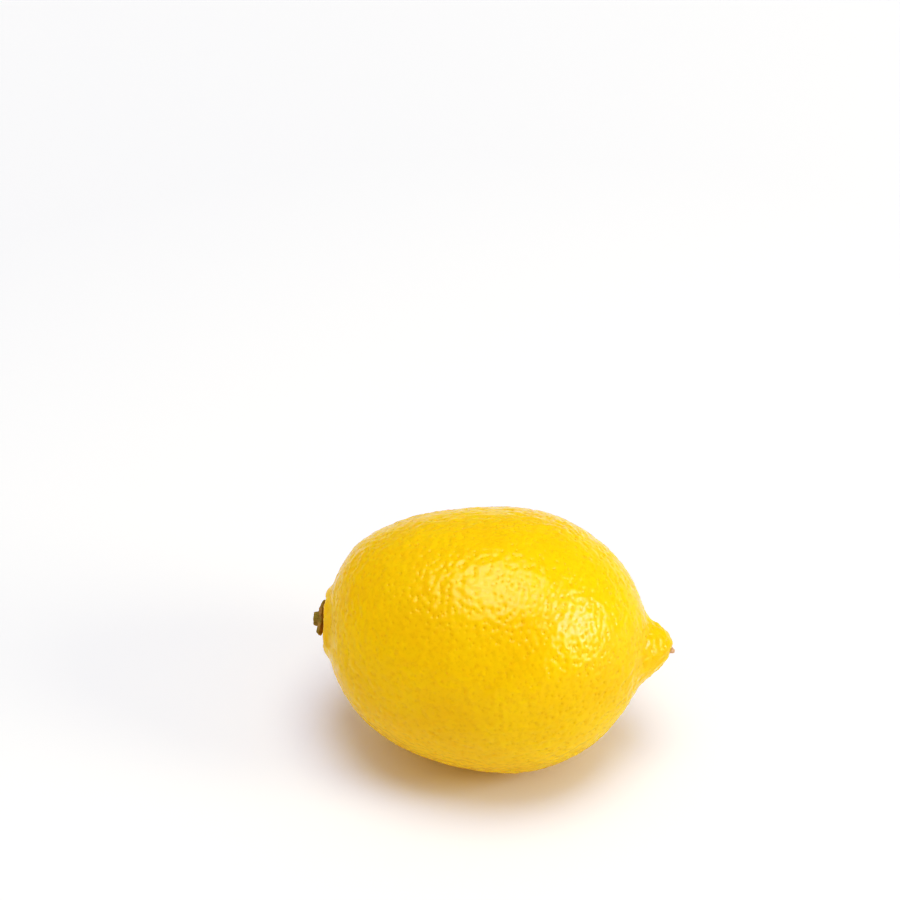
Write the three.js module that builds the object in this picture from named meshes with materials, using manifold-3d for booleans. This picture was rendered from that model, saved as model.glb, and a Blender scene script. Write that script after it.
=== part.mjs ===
// A whole lemon, as picked, lying on its side on a small flat spot.
// Millimetres. +X runs along the fruit towards the nipple, +Z is up,
// and the origin is on the flat spot, under the widest section.

import * as THREE from 'three';
import { mergeVertices } from 'three/addons/utils/BufferGeometryUtils.js';
import Module from 'manifold-3d';

// Body of the fruit
const bodyRadius = 31.2; // half the thickness at the widest section
const blossomLength = 33.7; // widest section to the blossom end, nipple left out
const stemLength = 41.1; // widest section to the stem end, collar left out
const blossomTaper = 1.04; // 1 is an ellipse, more is leaner
const stemTaper = 0.8; // less than 1 is a fuller, blunter shoulder
const flatSpotDepth = 0.7; // how far the weight has pressed the underside in

// The ends bow to one side: the long axis is slightly bent, like a real fruit's
const bowSide = new THREE.Vector3(0, 0.643, 0.766);
const stemBow = 3.2;
const blossomBow = 0.85;

// Nipple at the blossom end
const nippleHeight = 5.6;
const nippleRadius = 7.95;
const nippleOffset = -2.35; // along bowSide
const nippleLean = 1.95; // how far its tip leans back along bowSide
const nippleRoundness = 1.25; // more gives a more pointed tip
const nippleFoot = 0.3; // more blends its foot more widely into the body

// Low collar of rind round the stem end, with the calyx in its hollow
const collarHeight = 1.33;
const collarRadius = 6.7;
const collarWidth = 1.85;

// Calyx: a five-lobed button with the end of the cut stalk
const calyxRadius = 4.1;
const calyxLobes = 5;
const calyxLobeDepth = 0.12; // part of the radius
const calyxFootRadius = 2.4;
const calyxRimHeight = 1.35; // underside of the lobes above the button's foot
const calyxThickness = 0.75;
const stalkRadius = 1.6;
const stalkEnd = 3.3; // end of the stalk above the button's foot

// Dry remnant of the style, beside the top of the nipple
const styleRadius = 0.75;
const styleHeight = 0.8;
const styleOffset = 3.1; // from the body's axis, against bowSide

const pieceGap = 0.3; // between pieces that touch
const fruitSegmentsAround = 56;
const fruitSegmentsAlong = 46;
const endCrowding = 0.5; // rows of the mesh are closer together at both ends
const buttonSegments = 40;
const stubSegments = 16;

const wasm = await Module();
wasm.setup();

// Rounded step that is about 1 on the nipple's axis and fades to 0 past its foot.
function nippleRise(y, z) {
  const offCentre = Math.hypot(y - nippleOffset * bowSide.y, z - nippleOffset * bowSide.z);
  const inside = 1 - (offCentre / nippleRadius) ** 2;
  const softened = 0.5 * (inside + Math.hypot(inside, nippleFoot));
  return softened ** nippleRoundness;
}

// Point of the rind. latitude is 0 at the nipple and PI at the stem end,
// and turn goes round the long axis. The result is relative to the body's centre.
function rindPoint(latitude, turn) {
  const along = Math.cos(latitude);
  const across = Math.abs(Math.sin(latitude));
  const isBlossom = along > 0;
  const radius = bodyRadius * across ** (isBlossom ? blossomTaper : stemTaper);
  const y = radius * Math.cos(turn);
  const z = radius * Math.sin(turn);
  const point = new THREE.Vector3(0, y, z);
  if (isBlossom) {
    const rise = nippleRise(y, z);
    point.x = blossomLength * along + nippleHeight * rise;
    const share = Math.min(rise, 1);
    const bow = blossomBow * (1 - share) + nippleLean * share;
    return point.addScaledVector(bowSide, bow * along * along);
  }
  const collar = Math.exp(-(((radius - collarRadius) / collarWidth) ** 2));
  point.x = stemLength * along - collarHeight * collar;
  return point.addScaledVector(bowSide, stemBow * along * along);
}

// Outward direction of the rind, from two small steps along it.
function rindNormal(latitude, turn) {
  const step = 0.01;
  const here = rindPoint(latitude, turn);
  const onward = rindPoint(latitude + step, turn).sub(here);
  const around = rindPoint(latitude, turn + step).sub(here);
  return onward.cross(around).normalize();
}

function closedGeometry(geometry) {
  geometry.deleteAttribute('normal');
  geometry.deleteAttribute('uv');
  return mergeVertices(geometry, 1e-4);
}

function toSolid(geometry) {
  const closed = closedGeometry(geometry);
  const mesh = new wasm.Mesh({
    numProp: 3,
    vertProperties: new Float32Array(closed.attributes.position.array),
    triVerts: new Uint32Array(closed.index.array),
  });
  return new wasm.Manifold(mesh);
}

function fromSolid(solid) {
  const { vertProperties, triVerts } = solid.getMesh();
  const geometry = new THREE.BufferGeometry();
  geometry.setAttribute('position', new THREE.BufferAttribute(vertProperties, 3));
  geometry.setIndex(new THREE.BufferAttribute(triVerts, 1));
  return geometry;
}

// A sphere's grid pushed out to the rind's shape, then cut flat underneath.
function fruitGeometry() {
  const geometry = new THREE.SphereGeometry(1, fruitSegmentsAround, fruitSegmentsAlong);
  const position = geometry.attributes.position;
  for (let i = 0; i < position.count; i += 1) {
    const even = Math.acos(THREE.MathUtils.clamp(position.getY(i), -1, 1));
    const latitude = even - 0.5 * endCrowding * Math.sin(2 * even);
    const turn = Math.atan2(position.getX(i), position.getZ(i));
    const point = rindPoint(latitude, turn);
    position.setXYZ(i, point.x, point.y, point.z + bodyRadius - flatSpotDepth);
  }
  const boxSize = 4 * bodyRadius;
  const aboveGround = new THREE.BoxGeometry(boxSize, boxSize, boxSize);
  aboveGround.translate(0, 0, boxSize / 2);
  return fromSolid(toSolid(geometry).intersect(toSolid(aboveGround)));
}

// Turned profile along +Y, with its radius swelled into lobes towards the rim.
function calyxGeometry() {
  const rimTop = calyxRimHeight + calyxThickness;
  const profile = [
    new THREE.Vector2(0, 0),
    new THREE.Vector2(calyxFootRadius * 0.8, 0),
    new THREE.Vector2(calyxFootRadius, 0.25),
    new THREE.Vector2(calyxFootRadius * 1.1, calyxRimHeight * 0.75),
    new THREE.Vector2(calyxRadius * 0.88, calyxRimHeight),
    new THREE.Vector2(calyxRadius, calyxRimHeight + calyxThickness * 0.5),
    new THREE.Vector2(calyxRadius * 0.92, rimTop),
    new THREE.Vector2(calyxFootRadius, rimTop - 0.25),
    new THREE.Vector2(stalkRadius * 1.15, rimTop),
    new THREE.Vector2(stalkRadius, rimTop + 0.4),
    new THREE.Vector2(stalkRadius, stalkEnd - 0.2),
    new THREE.Vector2(stalkRadius * 0.85, stalkEnd),
    new THREE.Vector2(0, stalkEnd),
  ];
  const geometry = new THREE.LatheGeometry(profile, buttonSegments);
  const position = geometry.attributes.position;
  for (let i = 0; i < position.count; i += 1) {
    const x = position.getX(i);
    const z = position.getZ(i);
    const outward = THREE.MathUtils.smoothstep(Math.hypot(x, z), calyxFootRadius, calyxRadius);
    const swell = 1 + calyxLobeDepth * outward * Math.cos(calyxLobes * Math.atan2(z, x));
    position.setX(i, x * swell);
    position.setZ(i, z * swell);
  }
  return closedGeometry(geometry);
}

// Short tapered stub with a rounded top, along +Y.
function styleGeometry() {
  const profile = [
    new THREE.Vector2(0, 0),
    new THREE.Vector2(styleRadius, 0),
    new THREE.Vector2(styleRadius * 0.9, styleHeight * 0.5),
    new THREE.Vector2(styleRadius * 0.6, styleHeight * 0.9),
    new THREE.Vector2(0, styleHeight),
  ];
  return closedGeometry(new THREE.LatheGeometry(profile, stubSegments));
}

// Stands a piece on the rind, its +Y axis along the rind's outward direction.
function placeOnRind(mesh, latitude, turn, outward) {
  const foot = rindPoint(latitude, turn);
  mesh.position.copy(foot).addScaledVector(outward, pieceGap);
  mesh.position.z += bodyRadius - flatSpotDepth;
  mesh.quaternion.setFromUnitVectors(new THREE.Vector3(0, 1, 0), outward);
  return mesh;
}

function makeFruit() {
  const rind = new THREE.MeshStandardMaterial({ color: 0xf6c80e, roughness: 0.38, metalness: 0 });
  const fruit = new THREE.Mesh(fruitGeometry(), rind);
  fruit.name = 'fruit';
  return fruit;
}

function makeCalyx() {
  const dryGreen = new THREE.MeshStandardMaterial({ color: 0x7a6a3a, roughness: 0.85, metalness: 0 });
  const calyx = new THREE.Mesh(calyxGeometry(), dryGreen);
  calyx.name = 'calyx';
  return placeOnRind(calyx, Math.PI, 0, new THREE.Vector3(-1, 0, 0));
}

function makeStyleStub() {
  const dryBrown = new THREE.MeshStandardMaterial({ color: 0xa87c5a, roughness: 0.8, metalness: 0 });
  const stub = new THREE.Mesh(styleGeometry(), dryBrown);
  stub.name = 'style_stub';
  const latitude = Math.asin((styleOffset / bodyRadius) ** (1 / blossomTaper));
  const turn = Math.atan2(-bowSide.z, -bowSide.y);
  return placeOnRind(stub, latitude, turn, rindNormal(latitude, turn));
}

const lemon = new THREE.Group();
lemon.add(makeFruit(), makeCalyx(), makeStyleStub());

export default lemon;
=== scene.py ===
import math
import bpy
import numpy as np
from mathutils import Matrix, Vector


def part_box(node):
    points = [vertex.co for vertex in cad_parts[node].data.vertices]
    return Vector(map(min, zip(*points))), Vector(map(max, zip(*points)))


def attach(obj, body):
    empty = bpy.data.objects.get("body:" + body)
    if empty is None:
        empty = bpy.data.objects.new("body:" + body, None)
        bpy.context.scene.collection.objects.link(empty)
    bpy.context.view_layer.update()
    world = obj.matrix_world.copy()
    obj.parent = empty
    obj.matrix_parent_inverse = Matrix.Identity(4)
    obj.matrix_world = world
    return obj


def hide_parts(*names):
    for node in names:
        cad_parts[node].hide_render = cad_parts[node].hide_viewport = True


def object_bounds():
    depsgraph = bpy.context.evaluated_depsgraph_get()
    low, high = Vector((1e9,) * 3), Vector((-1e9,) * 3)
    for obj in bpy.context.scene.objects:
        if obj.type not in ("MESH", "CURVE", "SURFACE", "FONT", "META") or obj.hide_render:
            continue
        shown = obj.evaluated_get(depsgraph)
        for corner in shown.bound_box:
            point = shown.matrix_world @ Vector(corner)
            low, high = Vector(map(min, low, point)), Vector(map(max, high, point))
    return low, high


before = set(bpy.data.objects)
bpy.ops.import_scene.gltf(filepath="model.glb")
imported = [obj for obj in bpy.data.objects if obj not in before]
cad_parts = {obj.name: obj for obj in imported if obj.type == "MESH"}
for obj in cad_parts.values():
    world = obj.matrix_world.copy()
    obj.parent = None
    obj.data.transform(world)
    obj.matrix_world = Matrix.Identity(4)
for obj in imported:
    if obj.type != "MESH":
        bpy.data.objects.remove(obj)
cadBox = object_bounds()
mm = 0.001

print("stage: frame loaded")


view = {
    "lens": 150.0,  # mm
    "sensor": 36.0,  # mm
    "azimuth": 3.0,  # degrees, to the right of straight ahead
    "elevation": 38.0,
    "distance": 0.8765,
    "lookAt": (-0.01395, 0.02647, 0.06551),  # behind and above the fruit, which sits low in the frame
    "clip": (0.01, 50.0),  # nearest and farthest, m
}


def towards(azimuth, elevation):
    # unit vector: azimuth turns from -Y towards +X, elevation lifts towards +Z
    a = math.radians(azimuth)
    e = math.radians(elevation)
    return Vector((math.sin(a) * math.cos(e), -math.cos(a) * math.cos(e), math.sin(e)))


def aim(thing, place, target):
    thing.location = place
    thing.rotation_euler = (Vector(target) - Vector(place)).to_track_quat("-Z", "Y").to_euler()


def addCamera():
    lens = bpy.data.cameras.new("camera")
    lens.lens = view["lens"]
    lens.sensor_width = view["sensor"]
    lens.clip_start, lens.clip_end = view["clip"]
    camera = bpy.data.objects.new("camera", lens)
    bpy.context.scene.collection.objects.link(camera)
    place = Vector(view["lookAt"]) + view["distance"] * towards(view["azimuth"], view["elevation"])
    aim(camera, place, view["lookAt"])
    bpy.context.scene.camera = camera


addCamera()
print("stage: camera")


light = {
    "keyWay": (0.05, -0.09, 0.99),  # from the fruit to the overhead softbox
    "keyDistance": 1.0,
    "keySize": 0.68,  # across, m
    "keyPower": 5.6,
    "keyGlowSize": 1.15,  # a wider lamp that shows only in the gloss
    "keyGlowPower": 9.5,
    "sideWay": (0.865, -0.223, 0.453),  # smaller softbox to the right
    "sideDistance": 1.0,
    "sideSize": 0.40,
    "sidePower": 3.0,
    "sideGlowSize": 0.85,
    "sideGlowPower": 8.5,
    "fill": 0.53,  # even light from all round
    "backdrop": 1.0,  # what the camera sees past the floor
    "greenCurve": ((0.1, 0.065), (0.3, 0.235), (0.5, 0.46), (0.8, 0.8)),  # light in and out
    "blueCurve": ((0.05, 0.011), (0.15, 0.065), (0.3, 0.24), (0.5, 0.52), (0.7, 0.77)),
    "floorSize": 6.0,
    "floorColour": (0.93, 0.925, 0.915, 1.0),
    "floorRoughness": 0.85,
    "floorSpecular": 0.1,
    "floorDrop": 0.00005,  # keeps the floor just clear of the flat spot
    "floorGlow": 0.58,  # makes up for the lamps' fall-off far from the fruit
    "floorGlowReach": (0.25, 1.25),  # m, where it starts and where it is full
    "white": (1.0, 1.0, 1.0, 1.0),
}


def addSoftbox(name, way, distance, size, power, onlyGloss=False):
    lamp = bpy.data.lights.new(name, "AREA")
    lamp.shape = "DISK"
    lamp.size = size
    lamp.energy = power
    softbox = bpy.data.objects.new(name, lamp)
    bpy.context.scene.collection.objects.link(softbox)
    middle = Vector((0.0, 0.0, cadBox[1][2] / 2))
    aim(softbox, middle + distance * Vector(way).normalized(), middle)
    softbox.visible_diffuse = not onlyGloss


def addWorld():
    world = bpy.data.worlds.new("studio")
    bpy.context.scene.world = world
    world.use_nodes = True
    tree = world.node_tree
    background = tree.nodes["Background"]
    background.inputs["Color"].default_value = light["white"]
    path = tree.nodes.new("ShaderNodeLightPath")
    strength = tree.nodes.new("ShaderNodeMapRange")
    strength.inputs["To Min"].default_value = light["fill"]
    strength.inputs["To Max"].default_value = light["backdrop"]
    tree.links.new(path.outputs["Is Camera Ray"], strength.inputs["Value"])
    tree.links.new(strength.outputs["Result"], background.inputs["Strength"])


def gradePicture():
    # standard colours, with weak greens and blues held down so that yellows and shadows stay warm
    picture = bpy.context.scene.view_settings
    picture.view_transform = "Standard"
    picture.use_curve_mapping = True
    for channel, points in ((1, light["greenCurve"]), (2, light["blueCurve"])):
        for x, y in points:
            picture.curve_mapping.curves[channel].points.new(x, y)
    picture.curve_mapping.update()


def floorMaterial():
    material = bpy.data.materials.new("paleFloor")
    material.use_nodes = True
    tree = material.node_tree
    shader = tree.nodes["Principled BSDF"]
    shader.inputs["Base Color"].default_value = light["floorColour"]
    shader.inputs["Roughness"].default_value = light["floorRoughness"]
    shader.inputs["Specular IOR Level"].default_value = light["floorSpecular"]
    shader.inputs["Emission Color"].default_value = light["white"]
    away = tree.nodes.new("ShaderNodeVectorMath")
    away.operation = "LENGTH"
    tree.links.new(tree.nodes.new("ShaderNodeTexCoord").outputs["Object"], away.inputs[0])
    glow = tree.nodes.new("ShaderNodeMapRange")
    glow.inputs["From Min"].default_value, glow.inputs["From Max"].default_value = light["floorGlowReach"]
    glow.inputs["To Max"].default_value = light["floorGlow"]
    tree.links.new(away.outputs["Value"], glow.inputs["Value"])
    tree.links.new(glow.outputs["Result"], shader.inputs["Emission Strength"])
    return material


def addFloor():
    half = light["floorSize"] / 2
    low = -light["floorDrop"]
    corners = [(-half, -half, low), (half, -half, low), (half, half, low), (-half, half, low)]
    mesh = bpy.data.meshes.new("floor")
    mesh.from_pydata(corners, [], [(0, 1, 2, 3)])
    mesh.materials.append(floorMaterial())
    floor = bpy.data.objects.new("floor", mesh)
    bpy.context.scene.collection.objects.link(floor)


for lamp in ("key", "side"):
    place = light[lamp + "Way"], light[lamp + "Distance"]
    addSoftbox(lamp + "Softbox", *place, light[lamp + "Size"], light[lamp + "Power"])
    addSoftbox(lamp + "Glow", *place, light[lamp + "GlowSize"], light[lamp + "GlowPower"], onlyGloss=True)
addWorld()
gradePicture()
addFloor()
print("stage: light and floor")


lattice = {
    "axes": (0x8DA6B343, 0xD8163841, 0xCB1AB31F),  # odd multipliers for the three numbers of a point
    "seed": 0x9E3779B1,
    "rounds": ((15, 0x2C1B3C6D), (12, 0x297A2D39), (15, 1)),  # bits shifted right, multiplier
    "seedStep": 7,  # keeps the slopes of different seeds apart
    "offset": 0.37,  # of a cell for each seed, so that the lattices don't line up
    "gain": 1.6,
}


def hashUnit(i, j, k, seed):
    # integer lattice points scrambled by multiply, xor and shift, then scaled to 0..1
    h = np.uint32((seed * lattice["seed"]) & 0xFFFFFFFF)
    for number, factor in zip((i, j, k), lattice["axes"]):
        h = h ^ np.asarray(number).astype(np.int64).astype(np.uint32) * np.uint32(factor)
    for shift, factor in lattice["rounds"]:
        h = (h ^ (h >> np.uint32(shift))) * np.uint32(factor)
    return h.astype(np.float64) / 2**32


def softNoise(points, size, seed):
    # gradient noise: each lattice corner has a random slope, blended by 6t^5 - 15t^4 + 10t^3, about -1..1
    place = points / size + lattice["offset"] * seed
    cell = np.floor(place)
    part = place - cell
    blend = part * part * part * (part * (part * 6 - 15) + 10)
    total = np.zeros(points.shape[:-1])
    for corner in np.ndindex(2, 2, 2):
        step = np.array(corner)
        at = np.moveaxis(cell + step, -1, 0)
        slope = np.stack([2 * hashUnit(*at, seed * lattice["seedStep"] + n) - 1 for n in range(3)], -1)
        weight = np.prod(np.where(step == 1, blend, 1 - blend), axis=-1)
        total += weight * np.sum(slope * (part - step), axis=-1)
    return lattice["gain"] * total


def layers(points, sizes):
    # sum of soft noises, each with a size, a height and a seed
    return sum(height * softNoise(points, size, seed) for size, height, seed in sizes)


def bell(far, width):
    # exp(-(far / width)^2): 1 at the middle, fading to 0
    return np.exp(-((far / width) ** 2))


def climb(value, start, rise):
    # straight ramp: 0 up to start, 1 from start + rise on
    return np.clip((value - start) / rise, 0, 1)


def wrapped(radius, turn, height):
    # (radius * cosine, radius * sine, height): a turned surface as points
    return np.stack([radius * np.cos(turn), radius * np.sin(turn), height], -1)


fruit = {
    "blossomLength": 33.7,  # mm, widest section to the blossom end, nipple left out
    "stemLength": 41.1,  # widest section to the stem end, collar left out
    "blossomTaper": 1.04,  # 1 is an ellipse, more is leaner
    "stemTaper": 0.8,
    "bowSide": (0.0, 0.643, 0.766),  # the ends bow this way
    "stemBow": 3.2,
    "blossomBow": 0.85,
    "nippleHeight": 5.6,
    "nippleRadius": 7.95,
    "nippleOffset": -2.35,  # along bowSide
    "nippleLean": 1.95,
    "nippleRoundness": 1.25,
    "nippleFoot": 0.3,  # more blends its foot more widely into the body
    "collarHeight": 1.33,  # low ring round the stem end
    "collarRadius": 6.7,
    "collarWidth": 1.85,
    "patchCells": 128,  # cells along each side of the six patches
    "lumps": ((30.0, 0.40, 3), (10.0, 0.14, 4)),  # size mm, height mm, seed
    "pebbles": ((2.8, 0.10, 5), (1.4, 0.11, 6)),
    "pebbleStretch": 0.72,  # under 1 draws the pebbles out round the fruit
    "poreSpacing": 1.5,
    "poreJitter": 1.0,  # share of its cell that an oil gland may lie in
    "poreSeeds": (11, 12, 13),  # for its place along, its place round, and its strength
    "poreRadius": 0.45,
    "poreDepth": 0.08,
    "poreShares": (0.2, 1.5),  # of the depth: the weakest gland's, and what the strongest adds
    "poreStretch": 0.85,  # under 1 draws the pores out round the fruit
    "ridgeHeight": 0.08,  # mm, low ridges between the pores
    "ridgeReach": 0.9,  # from the middle of a pore to the top of a ridge
    "ridgePatches": (9.0, 15),  # size mm and seed of the places where the ridges are stronger
    "nippleSkin": (1.0, 0.12, 14),  # size mm, height mm, seed
    "folds": ((5, 0.16, 8), (13, 0.24, 9), (29, 0.14, 10)),  # ribs at both ends: number, height mm, seed
    "foldWander": 2.0,  # how much the ribs change on their way out
    "foldRing": (7.0, 5.5),  # mm from the axis, where the ribs are highest and how fast they fade
    "styleAway": 3.1,  # of the style's scar from the axis, against bowSide
    "scarDepth": 0.3,
    "scarRadius": 1.0,
}
fruitLow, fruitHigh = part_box("fruit")
bodyRadius = (fruitHigh[1] - fruitLow[1]) / 2 / mm
centreHeight = fruitHigh[2] / mm - bodyRadius
bowSide = np.array(fruit["bowSide"])


def bodyThickness(latitude):
    # radius times sine of the latitude, raised to the taper of that end
    taper = np.where(np.cos(latitude) > 0, fruit["blossomTaper"], fruit["stemTaper"])
    return bodyRadius * np.abs(np.sin(latitude)) ** taper


def rindShape(latitude, turn):
    # x is an ellipse's cosine plus a rounded step for the nipple and less a ring for the collar,
    # y and z are a circle of the body's thickness, and both ends slide along bowSide by the cosine squared
    along = np.cos(latitude)
    blossom = along > 0
    thickness = bodyThickness(latitude)
    y = thickness * np.cos(turn)
    z = thickness * np.sin(turn)
    offCentre = np.hypot(y - fruit["nippleOffset"] * bowSide[1], z - fruit["nippleOffset"] * bowSide[2])
    inside = 1 - (offCentre / fruit["nippleRadius"]) ** 2
    nipple = (0.5 * (inside + np.hypot(inside, fruit["nippleFoot"]))) ** fruit["nippleRoundness"]
    collar = bell(thickness - fruit["collarRadius"], fruit["collarWidth"])
    blossomX = fruit["blossomLength"] * along + fruit["nippleHeight"] * nipple
    stemX = fruit["stemLength"] * along - fruit["collarHeight"] * collar
    share = np.minimum(nipple, 1)
    blossomBow = fruit["blossomBow"] * (1 - share) + fruit["nippleLean"] * share
    bow = np.where(blossom, blossomBow, fruit["stemBow"]) * along**2
    place = np.stack([np.where(blossom, blossomX, stemX), y, z], -1) + bow[..., None] * bowSide
    return place + np.array([0.0, 0.0, centreHeight])


def rindNormal(latitude, turn):
    # cross product of two short steps along the rind
    step = 1e-4
    tiny = 1e-15  # keeps a pole from dividing by nothing
    here = rindShape(latitude, turn)
    along = rindShape(latitude + step, turn) - here
    around = rindShape(latitude, turn + step) - here
    normal = np.cross(along, around)
    return normal / np.maximum(np.linalg.norm(normal, axis=-1, keepdims=True), tiny)


def patchGrid(cells):
    # six square patches of a cube, (1, tan(pi/4 * u), tan(pi/4 * v)) and its turns, swelled to a
    # sphere by dividing each point by its length; points that agree to 7 places are merged
    places = 7
    t = np.tan(np.linspace(-1, 1, cells + 1) * math.pi / 4)
    u, v = np.meshgrid(t, t, indexing="ij")
    one = np.ones_like(u)
    sides = [(one, u, v), (-one, v, u), (v, one, u), (u, -one, v), (u, v, one), (v, u, -one)]
    points = np.concatenate([np.stack(side, -1).reshape(-1, 3) for side in sides])
    points /= np.linalg.norm(points, axis=1, keepdims=True)
    corner = (np.arange(cells)[:, None] * (cells + 1) + np.arange(cells)[None, :]).reshape(-1)
    quad = np.stack([corner, corner + cells + 1, corner + cells + 2, corner + 1], -1)
    quads = np.concatenate([quad + side * (cells + 1) ** 2 for side in range(6)])
    _, first, same = np.unique(np.round(points, places), axis=0, return_index=True, return_inverse=True)
    return points[first], same.reshape(-1)[quads]


def meridianLength():
    # running length of the rind from the nipple to each latitude
    samples = 4001
    latitude = np.linspace(0, math.pi, samples)
    line = rindShape(latitude, np.full_like(latitude, 0.5 * math.pi))
    steps = np.linalg.norm(np.diff(line, axis=0), axis=1)
    return latitude, np.concatenate([[0.0], np.cumsum(steps)])


def nearestPore(place, latitude, turn):
    # one oil gland in each cell of a grid of rows round the fruit, shifted by a hash;
    # gives the middle of the gland closest to each point, and that gland's own random number
    alongSeed, roundSeed, chanceSeed = fruit["poreSeeds"]
    latitudes, lengths = meridianLength()
    rows = round(lengths[-1] / fruit["poreSpacing"])
    row = np.floor(np.interp(latitude, latitudes, lengths) / lengths[-1] * rows)
    best = np.full(latitude.shape, np.inf)
    middle = np.zeros(place.shape)
    chance = np.zeros(latitude.shape)
    for rowStep in (-1, 0, 1):
        r = np.clip(row + rowStep, 0, rows - 1)
        rowLatitude = np.interp((r + 0.5) / rows * lengths[-1], lengths, latitudes)
        count = np.maximum(3, np.round(math.tau * bodyThickness(rowLatitude) / fruit["poreSpacing"]))
        column = np.floor(np.mod(turn / math.tau, 1.0) * count)
        for columnStep in (-1, 0, 1):
            c = np.mod(column + columnStep, count)
            shiftAlong = 0.5 + fruit["poreJitter"] * (hashUnit(r, c, 0 * c, alongSeed) - 0.5)
            shiftRound = 0.5 + fruit["poreJitter"] * (hashUnit(r, c, 0 * c, roundSeed) - 0.5)
            poreLatitude = np.interp((r + shiftAlong) / rows * lengths[-1], lengths, latitudes)
            pore = rindShape(poreLatitude, (c + shiftRound) / count * math.tau)
            far = np.linalg.norm(pore - place, axis=-1)
            closer = far < best
            best = np.where(closer, far, best)
            middle = np.where(closer[..., None], pore, middle)
            chance = np.where(closer, hashUnit(r, c, 0 * c, chanceSeed), chance)
    return middle, chance


def squeezed(points, stretch):
    # y and z made smaller, so that a pattern comes out longer round the fruit
    return points * np.array([1.0, stretch, stretch])


def styleSeat():
    # latitude and turn of the scar beside the top of the nipple
    latitude = math.asin((fruit["styleAway"] / bodyRadius) ** (1 / fruit["blossomTaper"]))
    return np.array(latitude), np.array(math.atan2(-bowSide[2], -bowSide[1]))


def rindRelief(place, latitude, turn):
    # sum of broad lumps, stretched pebbles, a Gaussian pit at each gland, ridges that rise as the
    # distance squared from it, ribs that fade away from both ends, and the hollow round the style's scar
    thickness = bodyThickness(latitude)
    height = layers(place, fruit["lumps"])
    height += layers(squeezed(place, fruit["pebbleStretch"]), fruit["pebbles"])
    middle, chance = nearestPore(place, latitude, turn)
    far = np.linalg.norm(squeezed(middle - place, fruit["poreStretch"]), axis=-1)
    least, extra = fruit["poreShares"]
    height -= fruit["poreDepth"] * (least + extra * chance**2) * bell(far, fruit["poreRadius"])
    patchiness = 1 + softNoise(place, *fruit["ridgePatches"])
    height += fruit["ridgeHeight"] * patchiness * climb(far, 0, fruit["ridgeReach"]) ** 2
    size, rise, seed = fruit["nippleSkin"]
    onNipple = bell(thickness, fruit["nippleRadius"]) * (np.cos(latitude) > 0)
    height += rise * onNipple * softNoise(place, size, seed)
    ring = wrapped(1, turn, fruit["foldWander"] * thickness / bodyRadius)
    ribs = sum(rise * softNoise(ring * count / math.tau, 1.0, seed) for count, rise, seed in fruit["folds"])
    highest, fade = fruit["foldRing"]
    height += ribs * bell(thickness - highest, fade)
    scar = np.linalg.norm(place - rindShape(*styleSeat()), axis=-1)
    return height - fruit["scarDepth"] * bell(scar, fruit["scarRadius"])


def addMesh(name, places, *faceArrays):
    # places in mm; each face array holds quads or triangles
    mesh = bpy.data.meshes.new(name)
    faces = [face for array in faceArrays for face in array.tolist()]
    mesh.from_pydata((places * mm).tolist(), [], faces)
    mesh.polygons.foreach_set("use_smooth", np.ones(len(mesh.polygons), dtype=bool))
    mesh.update()
    piece = bpy.data.objects.new(name, mesh)
    bpy.context.scene.collection.objects.link(piece)
    return piece


def storeOn(piece, label, kind, domain, values):
    layer = piece.data.attributes.new(label, kind, domain)
    field = "vector" if kind == "FLOAT_VECTOR" else "value"
    layer.data.foreach_set(field, values.astype(np.float32).ravel())


def polar(direction):
    # angle from +X, and turn round it from +Y towards +Z
    direction = direction / np.linalg.norm(direction, axis=-1, keepdims=True)
    return np.arccos(np.clip(direction[..., 0], -1, 1)), np.arctan2(direction[..., 2], direction[..., 1])


def makeFruit():
    # the rind's shape pushed out along its normal by the relief, and stopped at the floor
    poleGap = 1e-3  # radians, because the normal can't be worked out right on a pole
    directions, quads = patchGrid(fruit["patchCells"])
    latitude, turn = polar(directions)
    place = rindShape(latitude, turn)
    outward = rindNormal(np.clip(latitude, poleGap, math.pi - poleGap), turn)
    finished = place + rindRelief(place, latitude, turn)[:, None] * outward
    finished[:, 2] = np.maximum(finished[:, 2], 0.0)  # pressed flat where it rests
    piece = addMesh("lemonFruit", finished, quads)
    faceMiddle, faceChance = nearestPore(place[quads].mean(1), *polar(directions[quads].mean(1)))
    arrow = squeezed(faceMiddle[:, None, :] - place[quads], fruit["poreStretch"])
    storeOn(piece, "poreArrow", "FLOAT_VECTOR", "CORNER", arrow)  # mm, to the middle of the gland
    storeOn(piece, "poreChance", "FLOAT", "FACE", faceChance)
    return piece


rind = {
    "yellow": (0.92, 0.60, 0.0),
    "deepYellow": (0.88, 0.545, 0.0),
    "patches": {"size": 0.018, "detail": 3.0, "seed": 1.0},  # m, where the yellow is deeper
    "patchEdge": (0.35, 0.65),
    "poreColour": (0.70, 0.41, 0.0),
    "poreStain": 0.22,
    "poreEdge": (0.04, 0.42),  # mm, full depth and rim of a pit
    "poreFaintest": 0.1,  # the weakest gland's share
    "poreBump": 0.065,  # mm
    "flecks": {"size": 0.0009, "detail": 2.0, "seed": 7.0},
    "fleckEdge": (0.50, 0.66),
    "fleckStain": 0.24,
    # dark brown round the style's scar: partly the scar's own colour, partly painted shade in the hollow
    # round the stub
    "scarAndShadeColour": (0.30, 0.17, 0.03),
    "scarAndShadeStain": 0.85,
    "scarAndShadeEdge": (0.0006, 0.0016),  # m from its middle
    "grain": {"size": 0.0007, "detail": 2.0, "seed": 3.0},
    "grainBump": 0.02,  # mm
    "roughPatches": {"size": 0.0025, "detail": 3.0, "seed": 2.0},
    "roughness": (0.14, 0.25),
    "specular": 0.4,
    "gloss": (1.0, 0.65, 1.0, 1.0),  # the tint of the reflections, with a little less green
    "bleed": 0.4,  # share of the light that spreads under the skin
    "bleedDepth": 0.0015,
    "bleedReach": (1.0, 0.5, 0.08),  # red, green and blue, as shares of the depth
}


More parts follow.
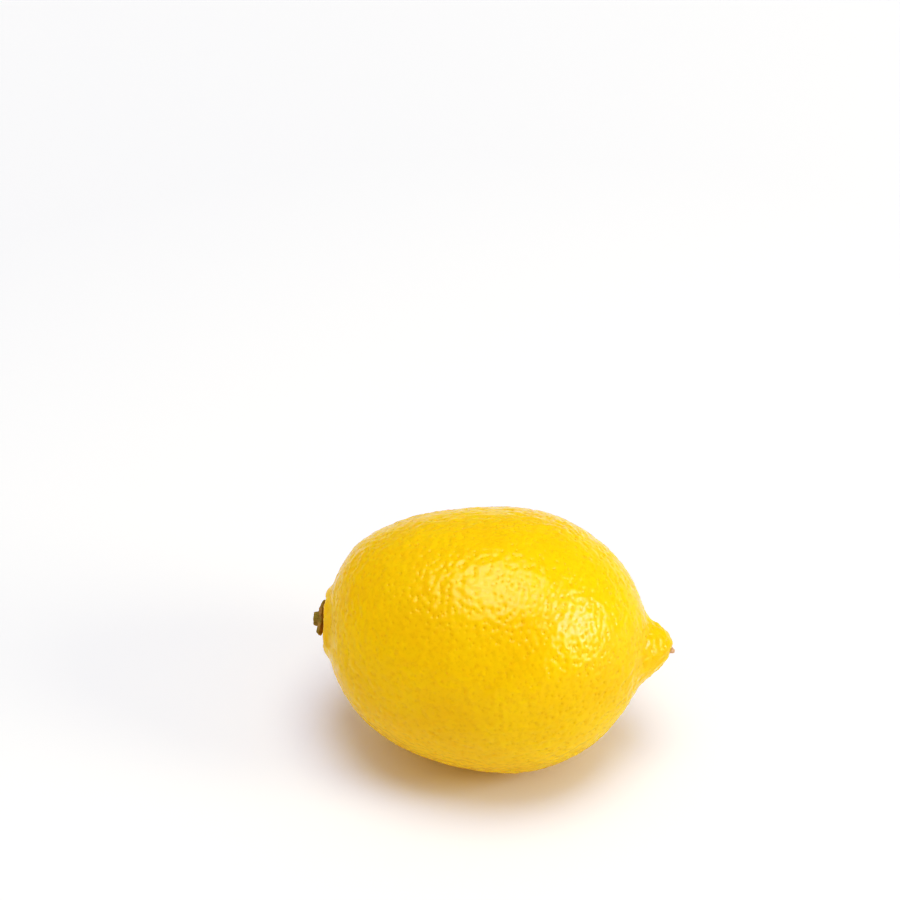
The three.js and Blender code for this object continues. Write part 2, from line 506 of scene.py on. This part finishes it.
class Nodes:
    # short ways to add and join shader nodes
    def __init__(self, name):
        self.material = bpy.data.materials.new(name)
        self.material.use_nodes = True
        self.tree = self.material.node_tree
        self.shader = self.tree.nodes["Principled BSDF"]

    def put(self, kind, **settings):
        node = self.tree.nodes.new("ShaderNode" + kind)
        for key, value in settings.items():
            setattr(node, key, value)
        return node

    def feed(self, socket, value):
        if isinstance(value, bpy.types.NodeSocket):
            self.tree.links.new(value, socket)
        elif socket.type == "RGBA":
            socket.default_value = (*value, 1.0)
        else:
            socket.default_value = value

    def place(self):
        return self.put("TexCoord").outputs["Object"]

    def stored(self, label, output="Fac"):
        return self.put("Attribute", attribute_name=label).outputs[output]

    def noise(self, size, detail, seed, rough=0.5):
        node = self.put("TexNoise", noise_dimensions="4D")
        self.feed(node.inputs["Vector"], self.place())
        node.inputs["W"].default_value = seed
        node.inputs["Scale"].default_value = 1.0 / size
        node.inputs["Detail"].default_value = detail
        node.inputs["Roughness"].default_value = rough
        return node.outputs["Fac"]

    def math(self, operation, a, b=0.0):
        node = self.put("Math", operation=operation)
        self.feed(node.inputs[0], a)
        self.feed(node.inputs[1], b)
        return node.outputs[0]

    def ramp(self, value, low, high, toLow=0.0, toHigh=1.0):
        node = self.put("MapRange", interpolation_type="SMOOTHSTEP")
        self.feed(node.inputs["Value"], value)
        for key, number in (("From Min", low), ("From Max", high), ("To Min", toLow), ("To Max", toHigh)):
            node.inputs[key].default_value = number
        return node.outputs["Result"]

    def awayFrom(self, point):
        node = self.put("VectorMath", operation="DISTANCE")
        self.feed(node.inputs[0], self.place())
        node.inputs[1].default_value = point
        return node.outputs["Value"]

    def mix(self, share, a, b):
        # 6, 7 and 2 are the colour sockets of a Mix node
        node = self.put("Mix", data_type="RGBA")
        self.feed(node.inputs[0], share)
        self.feed(node.inputs[6], a)
        self.feed(node.inputs[7], b)
        return node.outputs[2]

    def bump(self, height):
        node = self.put("Bump")
        node.inputs["Distance"].default_value = 1.0  # the height is in metres already
        self.feed(node.inputs["Height"], height)
        self.feed(self.shader.inputs["Normal"], node.outputs["Normal"])


def rindMaterial():
    n = Nodes("waxyRind")
    length = n.put("VectorMath", operation="LENGTH")
    n.feed(length.inputs[0], n.stored("poreArrow", "Vector"))
    pit = n.ramp(length.outputs["Value"], *rind["poreEdge"], 1.0, 0.0)
    strength = n.ramp(n.stored("poreChance"), 0.0, 1.0, rind["poreFaintest"], 1.0)
    pore = n.math("MULTIPLY", pit, strength)
    patches = n.ramp(n.noise(**rind["patches"]), *rind["patchEdge"])
    colour = n.mix(patches, rind["yellow"], rind["deepYellow"])
    colour = n.mix(n.math("MULTIPLY", pore, rind["poreStain"]), colour, rind["poreColour"])
    flecks = n.ramp(n.noise(**rind["flecks"]), *rind["fleckEdge"], 0.0, rind["fleckStain"])
    colour = n.mix(flecks, colour, rind["poreColour"])
    # darker round the style's scar: the scar's own brown plus painted shade in the hollow round the stub
    scarMiddle = Vector(rindShape(*styleSeat())) * mm
    scar = n.ramp(n.awayFrom(scarMiddle), *rind["scarAndShadeEdge"], rind["scarAndShadeStain"], 0.0)
    n.feed(n.shader.inputs["Base Color"], n.mix(scar, colour, rind["scarAndShadeColour"]))
    rough = n.ramp(n.noise(**rind["roughPatches"]), *rind["patchEdge"], *rind["roughness"])
    n.feed(n.shader.inputs["Roughness"], rough)
    grain = n.math("MULTIPLY", n.noise(**rind["grain"]), rind["grainBump"] * mm)
    n.bump(n.math("SUBTRACT", grain, n.math("MULTIPLY", pore, rind["poreBump"] * mm)))
    n.shader.inputs["Specular IOR Level"].default_value = rind["specular"]
    n.shader.inputs["Specular Tint"].default_value = rind["gloss"]
    n.shader.inputs["Subsurface Weight"].default_value = rind["bleed"]
    n.shader.inputs["Subsurface Radius"].default_value = rind["bleedReach"]
    n.shader.inputs["Subsurface Scale"].default_value = rind["bleedDepth"]
    return n.material


def finishPiece(piece, material, node):
    piece.data.materials.append(material)
    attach(piece, "root")
    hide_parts(node)


finishPiece(makeFruit(), rindMaterial(), "fruit")
print("stage: fruit")


def smoothProfile(points, count):
    # Catmull-Rom curve through the points, evenly stepped in its parameter
    points = np.array(points, float)
    ends = np.concatenate([[2 * points[0] - points[1]], points, [2 * points[-1] - points[-2]]])
    t = np.linspace(0, len(points) - 1, count)
    i = np.minimum(t.astype(int), len(points) - 2)
    f = (t - i)[:, None]
    a, b, c, d = ends[i], ends[i + 1], ends[i + 2], ends[i + 3]
    square = (2 * a - 5 * b + 4 * c - d) * f**2
    cube = (3 * b - a - 3 * c + d) * f**3
    return 0.5 * (2 * b + (c - a) * f + square + cube)


def turnedGrid(shape):
    # radius and height of the profile at every turn, as two grids, and the grid of turns
    profile = smoothProfile(shape["profile"], shape["rows"])
    turns = np.linspace(0, math.tau, shape["around"], endpoint=False)
    turn = turns[None, :] + np.zeros((len(profile), 1))
    return profile[:, :1] + 0 * turn, profile[:, 1:] + 0 * turn, turn


def addTurned(name, radius, height, turn, foot, axis):
    # foot + height * axis + radius * (cosine * side + sine * other);
    # the first and last rows are one point each
    axis = axis / np.linalg.norm(axis)
    side = np.cross(axis, [0.0, 0.0, 1.0])
    side /= np.linalg.norm(side)
    other = np.cross(axis, side)
    ring = np.cos(turn)[..., None] * side + np.sin(turn)[..., None] * other
    grid = foot + height[..., None] * axis + radius[..., None] * ring
    rows, columns = turn.shape
    inner = grid[1:-1].reshape(-1, 3)
    places = np.concatenate([inner, grid[:1].mean(1), grid[-1:].mean(1)])
    corner = np.arange(inner.shape[0]).reshape(rows - 2, columns)
    onward = np.roll(corner, -1, axis=1)
    quads = np.stack([corner[:-1], onward[:-1], onward[1:], corner[1:]], -1).reshape(-1, 4)
    first = np.stack([onward[0], corner[0], np.full(columns, len(inner))], -1)
    last = np.stack([corner[-1], onward[-1], np.full(columns, len(inner) + 1)], -1)
    return addMesh(name, places, quads, first, last)


calyx = {
    # radius and height above the foot of the button, mm
    "profile": (
        (0.0, -0.9), (1.6, -0.9), (2.4, -0.6), (2.5, 0.2), (2.8, 0.75), (3.4, 1.0), (3.95, 1.1),
        (4.2, 1.3), (4.0, 1.62), (3.4, 1.85), (2.8, 1.95), (2.3, 2.0), (2.05, 1.98), (1.85, 2.0),
        (1.72, 2.2), (1.6, 2.7), (1.55, 3.05), (1.42, 3.26), (1.1, 3.22), (0.6, 3.1), (0.25, 3.12),
        (0.0, 3.08),
    ),
    "rows": 140,
    "around": 200,
    "lobes": 5,
    "lobeStart": (2.0, 2.0),  # mm from the axis, and how much farther out a lobe is full
    "lobeDrift": 0.18,  # of a lobe, makes the lobes unequally wide
    "lobePoint": 1.15,  # 1 gives straight-sided tips, more gives rounder ones
    "lobeFlare": 1.4,  # more keeps the swelling nearer the rim
    "lobeReach": 0.34,  # share of the radius between tips and notches
    "lobeRound": 0.62,  # how far from notch to tip the profile's own radius is kept
    "lobeUneven": (0.25, 0.7),  # some lobes longer by this share, and where round the button
    "lobeCurl": 0.55,  # mm, tips bent away from the rind, more on one side
    "curlSide": 0.8,
    "upperStart": (1.2, 0.4),  # mm above the foot, where the upper side starts and is full
    "notchDepth": 0.45,
    "notchWidth": 0.22,  # of half a lobe
    "keelHeight": 0.22,
    "ribHeight": 0.10,
    "ribFineness": 5.5,
    "ribWander": 0.12,  # how much the ribs change on their way up
    "ribSeed": 21,
    "ribFull": 1.5,  # mm from the axis
    "skin": ((0.9, 1.0, 22), (0.4, 0.5, 23)),  # size mm, share, seed
    "skinFull": 0.5,  # mm above the foot
    "skinSideways": 0.5,  # share of the roughness that goes outwards too
    "roughHeight": 0.11,
}
calyxLow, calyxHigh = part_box("calyx")
calyxMiddle = (calyxLow[1] + calyxHigh[1]) / 2, (calyxLow[2] + calyxHigh[2]) / 2


def makeCalyx():
    # turned profile whose rim swells to a point in each lobe, 1 - |t|^p with t from -1 to 1 across it,
    # with a keel along the lobe, a groove exp(-((1 - |t|) / w)^2) between lobes, fine ribs down the
    # stalk and a rough skin
    foot = np.array([calyxHigh[0], *calyxMiddle]) / mm
    radius, height, turn = turnedGrid(calyx)
    outer = climb(radius, *calyx["lobeStart"])
    upper = climb(height, *calyx["upperStart"])
    lobe = turn * calyx["lobes"] / math.tau + calyx["lobeDrift"] * np.sin(turn)
    offMiddle = np.abs(np.mod(lobe, 1.0) * 2 - 1)
    tip = 1 - offMiddle ** calyx["lobePoint"]
    notch = bell(1 - offMiddle, calyx["notchWidth"])
    longer, where = calyx["lobeUneven"]
    uneven = 1 + longer * np.sin(2 * turn + where)
    flare = outer ** calyx["lobeFlare"] * uneven * calyx["lobeReach"]
    radius = radius * (1 + flare * (tip - calyx["lobeRound"]))
    height = height + outer * tip * calyx["lobeCurl"] * np.sin(turn - calyx["curlSide"])
    height = height + outer * upper * (calyx["keelHeight"] * tip**2 - calyx["notchDepth"] * notch)
    ring = wrapped(1, turn, calyx["ribWander"] * height)
    rib = softNoise(ring * calyx["ribFineness"], 1.0, calyx["ribSeed"]) * climb(radius, 0, calyx["ribFull"])
    skin = layers(wrapped(radius, turn, height), calyx["skin"])
    above = climb(height, 0, calyx["skinFull"])
    out = calyx["ribHeight"] * rib + calyx["skinSideways"] * calyx["roughHeight"] * skin
    radius = radius + above * climb(radius, 0, 1) * out
    height = height + above * calyx["roughHeight"] * skin
    return addTurned("calyxButton", radius, height, turn, foot, np.array([-1.0, 0.0, 0.0]))


dry = {
    "calyxTan": (0.40, 0.27, 0.13),
    "calyxGreen": (0.23, 0.22, 0.07),
    "calyxDark": (0.10, 0.06, 0.025),
    "styleBrown": (0.68, 0.45, 0.28),
    "styleDark": (0.30, 0.16, 0.08),
    "blotches": {"size": 0.0022, "detail": 3.0, "seed": 4.0},
    "blotchEdge": (0.38, 0.62),
    "streaks": {"size": 0.0005, "detail": 4.0, "seed": 5.0, "rough": 0.7},
    "streakEdge": (0.42, 0.72),
    "streakStain": 0.7,
    "cutWood": (0.58, 0.45, 0.26),
    "cutEdge": (0.0011, 0.0015),  # m from the middle of the cut stalk to where its bark starts
    "cutRings": 0.00055,  # m between the rings of the cut stalk
    "ringStain": 0.45,
    "roughness": 0.82,
    "specular": 0.25,
    "grain": {"size": 0.0004, "detail": 4.0, "seed": 6.0},
    "grainBump": 0.04,  # mm
}


def dryMaterial(name, pale, other, dark, cutMiddle=None):
    n = Nodes(name)
    blotch = n.ramp(n.noise(**dry["blotches"]), *dry["blotchEdge"])
    streak = n.ramp(n.noise(**dry["streaks"]), *dry["streakEdge"])
    colour = n.mix(blotch, pale, other)
    colour = n.mix(n.math("MULTIPLY", streak, dry["streakStain"]), colour, dark)
    if cutMiddle is not None:
        away = n.awayFrom(cutMiddle)
        rings = n.math("SINE", n.math("MULTIPLY", away, math.tau / dry["cutRings"]))
        wood = n.mix(n.ramp(rings, -1.0, 1.0, 0.0, dry["ringStain"]), dry["cutWood"], pale)
        colour = n.mix(n.ramp(away, *dry["cutEdge"], 1.0, 0.0), colour, wood)
    n.feed(n.shader.inputs["Base Color"], colour)
    n.bump(n.math("MULTIPLY", n.noise(**dry["grain"]), dry["grainBump"] * mm))
    n.shader.inputs["Roughness"].default_value = dry["roughness"]
    n.shader.inputs["Specular IOR Level"].default_value = dry["specular"]
    return n.material


style = {
    # radius and height above the foot of the stub, mm
    "profile": (
        (0.0, -0.5), (0.7, -0.45), (0.82, -0.1), (0.72, 0.25), (0.56, 0.55), (0.5, 0.85), (0.42, 1.0),
        (0.2, 1.0), (0.0, 0.93),
    ),
    "rows": 48,
    "around": 64,
    "sunk": 0.2,  # mm, into the rind
    "corners": (3, 0.18, 1.0),  # number, share of the radius, where round the stub
    "skin": (0.5, 31),  # size mm, seed
    "skinFull": (0.4, 1.0),  # mm from the axis, and above the foot
    "roughHeight": 0.13,
}


def makeStyle():
    # short turned stub, with blunt corners, 1 + a * sin(3 * turn), and knocked out of round by noise,
    # along the rind's outward direction at the scar
    seat = styleSeat()
    outward = rindNormal(*seat)
    radius, height, turn = turnedGrid(style)
    skin = style["roughHeight"] * softNoise(wrapped(radius, turn, height), *style["skin"])
    number, share, where = style["corners"]
    fullOut, fullUp = style["skinFull"]
    radius = radius * (1 + share * np.sin(number * turn + where)) + skin * climb(radius, 0, fullOut)
    height = height + skin * climb(height, 0, fullUp)
    foot = rindShape(*seat) - style["sunk"] * outward
    return addTurned("styleStub", radius, height, turn, foot, outward)


stalkEnd = Vector((calyxLow[0], *calyxMiddle))
calyxDry = dryMaterial("dryCalyx", dry["calyxTan"], dry["calyxGreen"], dry["calyxDark"], stalkEnd)
styleDry = dryMaterial("dryStyle", dry["styleBrown"], dry["styleBrown"], dry["styleDark"])
finishPiece(makeCalyx(), calyxDry, "calyx")
finishPiece(makeStyle(), styleDry, "style_stub")
print("stage: calyx and style")
